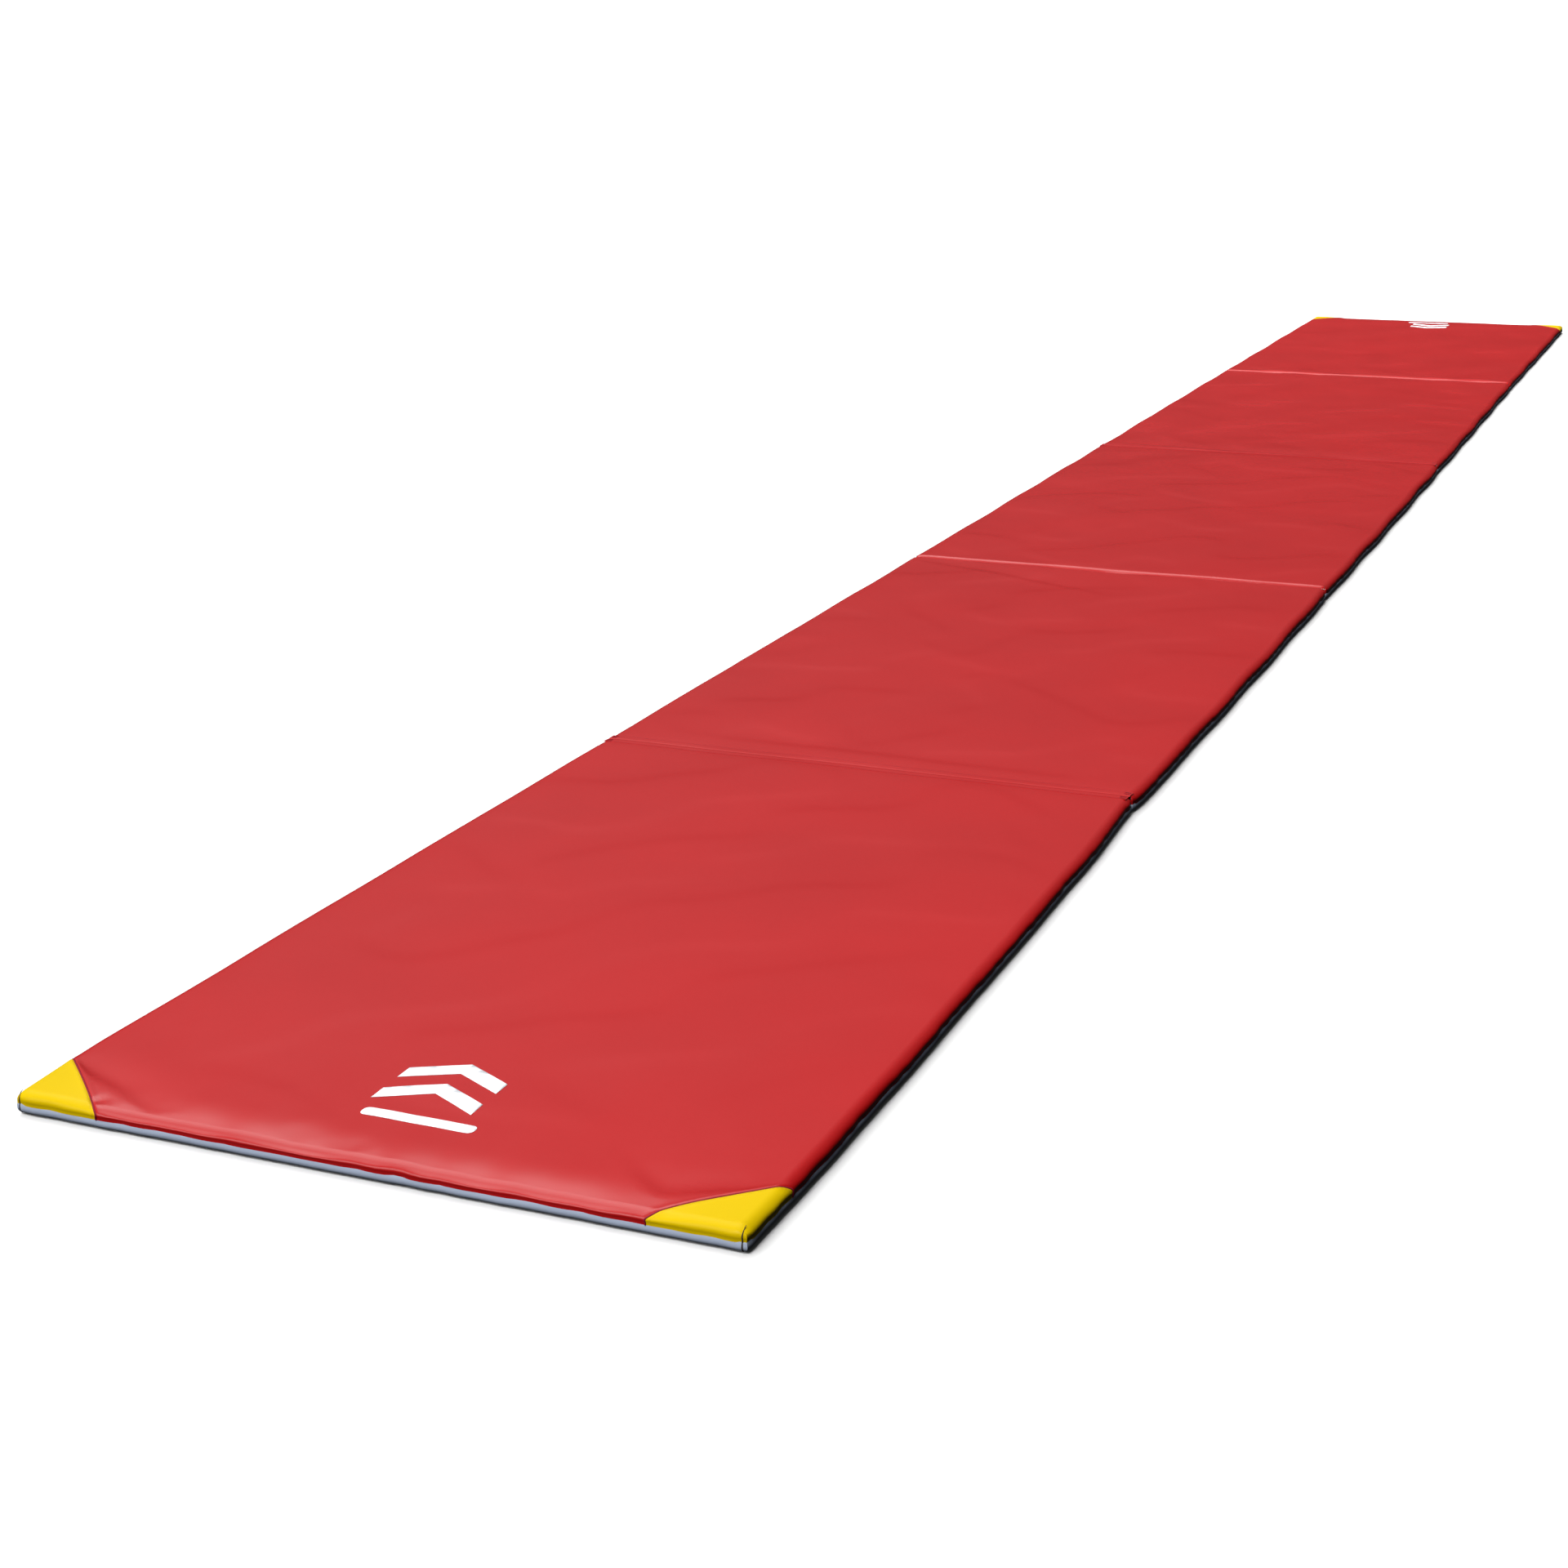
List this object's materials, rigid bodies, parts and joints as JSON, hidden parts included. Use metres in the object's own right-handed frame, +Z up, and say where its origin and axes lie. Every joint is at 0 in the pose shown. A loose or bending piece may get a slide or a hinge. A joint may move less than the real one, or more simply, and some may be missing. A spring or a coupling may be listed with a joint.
{
  "type": "folding gymnastics runway mat",
  "caption": "Long narrow foam tumbling mat in a vinyl cover, with contrasting corner patches and base band, zipped panels and fabric folds that let it stack like a concertina.",
  "frame": {"origin": "under the middle of the mat, on the face it rests on", "axes": "+X along the mat from its near end to its far end; +Y across it towards the zips; +Z up"},
  "size_m": [10, 1.2032, 0.0406],
  "materials": {
    "red_vinyl": "satin",
    "grey_vinyl": "satin",
    "yellow_vinyl": "satin",
    "foam": "matte",
    "zip_tape": "matte",
    "zip_metal": "satin",
    "white_print": "satin"
  },
  "bodies": {
    "panel_1": {"foam_core_1": "foam", "top_cover_1": "red_vinyl", "base_cover_1": "grey_vinyl", "zip_tape_1": "zip_tape", "corner_patch_near_left": "yellow_vinyl", "corner_patch_near_right": "yellow_vinyl", "near_mark_chevron_1": "white_print", "near_mark_chevron_2": "white_print", "near_mark_bar": "white_print", "fold_1_leaf_near": "red_vinyl"},
    "panel_2": {"foam_core_2": "foam", "top_cover_2": "red_vinyl", "base_cover_2": "grey_vinyl", "zip_tape_2": "zip_tape", "fold_1_leaf_far": "red_vinyl", "fold_2_leaf_near": "grey_vinyl"},
    "panel_3": {"foam_core_3": "foam", "top_cover_3": "red_vinyl", "base_cover_3": "grey_vinyl", "zip_tape_3": "zip_tape", "fold_2_leaf_far": "grey_vinyl", "fold_3_leaf_near": "red_vinyl"},
    "panel_4": {"foam_core_4": "foam", "top_cover_4": "red_vinyl", "base_cover_4": "grey_vinyl", "zip_tape_4": "zip_tape", "fold_3_leaf_far": "red_vinyl", "fold_4_leaf_near": "grey_vinyl"},
    "panel_5": {"foam_core_5": "foam", "top_cover_5": "red_vinyl", "base_cover_5": "grey_vinyl", "zip_tape_5": "zip_tape", "corner_patch_far_left": "yellow_vinyl", "corner_patch_far_right": "yellow_vinyl", "far_mark_chevron_1": "white_print", "far_mark_chevron_2": "white_print", "far_mark_bar": "white_print", "fold_4_leaf_far": "grey_vinyl"},
    "slider_1": {"zip_slider_1": "zip_metal"},
    "slider_2": {"zip_slider_2": "zip_metal"},
    "slider_3": {"zip_slider_3": "zip_metal"},
    "slider_4": {"zip_slider_4": "zip_metal"},
    "slider_5": {"zip_slider_5": "zip_metal"}
  },
  "joints": [
    {"name": "fold_1", "type": "hinge", "parent": "panel_1", "child": "panel_2", "pos_m": [-3, 0, 0.042], "axis": [0, -1, 0], "range_deg": [0, 180]},
    {"name": "fold_2", "type": "hinge", "parent": "panel_2", "child": "panel_3", "pos_m": [-1, 0, -0.002], "axis": [0, 1, 0], "range_deg": [0, 180]},
    {"name": "fold_3", "type": "hinge", "parent": "panel_3", "child": "panel_4", "pos_m": [1, 0, 0.042], "axis": [0, -1, 0], "range_deg": [0, 180]},
    {"name": "fold_4", "type": "hinge", "parent": "panel_4", "child": "panel_5", "pos_m": [3, 0, -0.002], "axis": [0, 1, 0], "range_deg": [0, 180]},
    {"name": "zip_1", "type": "slide", "parent": "panel_1", "child": "slider_1", "axis": [1, 0, 0], "range_m": [0, 1.65]},
    {"name": "zip_2", "type": "slide", "parent": "panel_2", "child": "slider_2", "axis": [1, 0, 0], "range_m": [0, 1.65]},
    {"name": "zip_3", "type": "slide", "parent": "panel_3", "child": "slider_3", "axis": [1, 0, 0], "range_m": [0, 1.65]},
    {"name": "zip_4", "type": "slide", "parent": "panel_4", "child": "slider_4", "axis": [1, 0, 0], "range_m": [0, 1.65]},
    {"name": "zip_5", "type": "slide", "parent": "panel_5", "child": "slider_5", "axis": [1, 0, 0], "range_m": [0, 1.65]}
  ],
  "couplings": [
    {"joint": "fold_2", "follows": "fold_1", "ratio": 1},
    {"joint": "fold_4", "follows": "fold_3", "ratio": 1}
  ]
}
